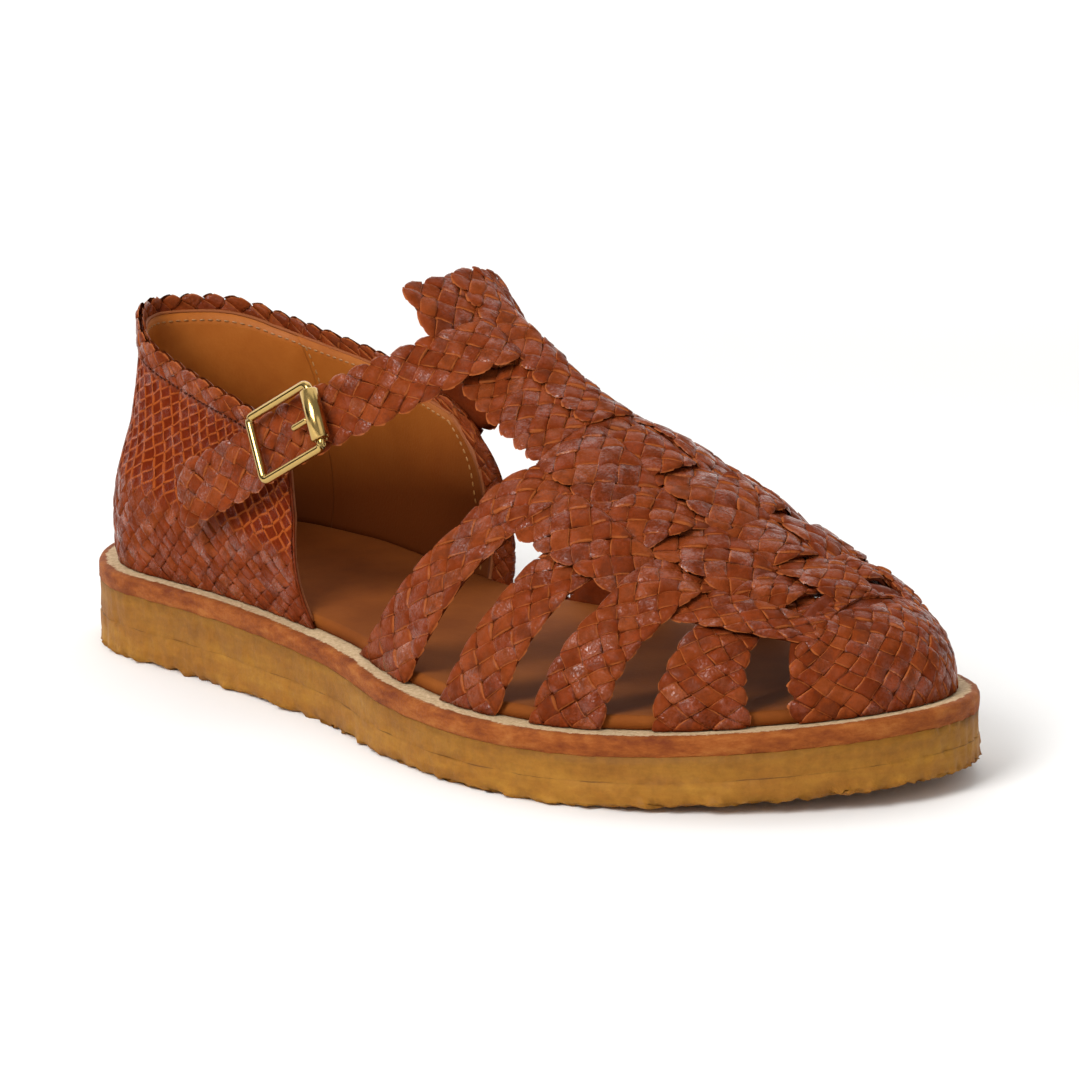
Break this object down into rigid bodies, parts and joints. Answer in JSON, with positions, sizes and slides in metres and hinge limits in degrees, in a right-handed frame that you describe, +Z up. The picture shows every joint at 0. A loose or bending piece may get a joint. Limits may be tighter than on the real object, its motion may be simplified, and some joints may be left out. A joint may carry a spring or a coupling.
{
  "type": "fisherman sandal",
  "caption": "Right fisherman sandal with a braided leather upper of crossing straps, closed heel counter, buckled ankle strap, leather midsole and crepe rubber outsole.",
  "frame": {"origin": "middle of the outsole's footprint, on the ground", "axes": "+X towards the toe, +Y towards the inner side of the foot, +Z up"},
  "size_m": [0.262, 0.1015, 0.0987],
  "materials": {
    "crepe": "mottled crepe, matt",
    "welt_leather": "raw cut edge with a pale top",
    "lining_leather": "smooth, satin",
    "braided_leather": "cognac, grained, satin",
    "brass": "polished"
  },
  "bodies": {
    "root": {"outsole": "crepe", "midsole": "welt_leather", "insole": "lining_leather", "upper": "braided_leather", "buckle_frame": "brass", "buckle_roller": "brass", "buckle_prong": "brass"}
  },
  "joints": []
}
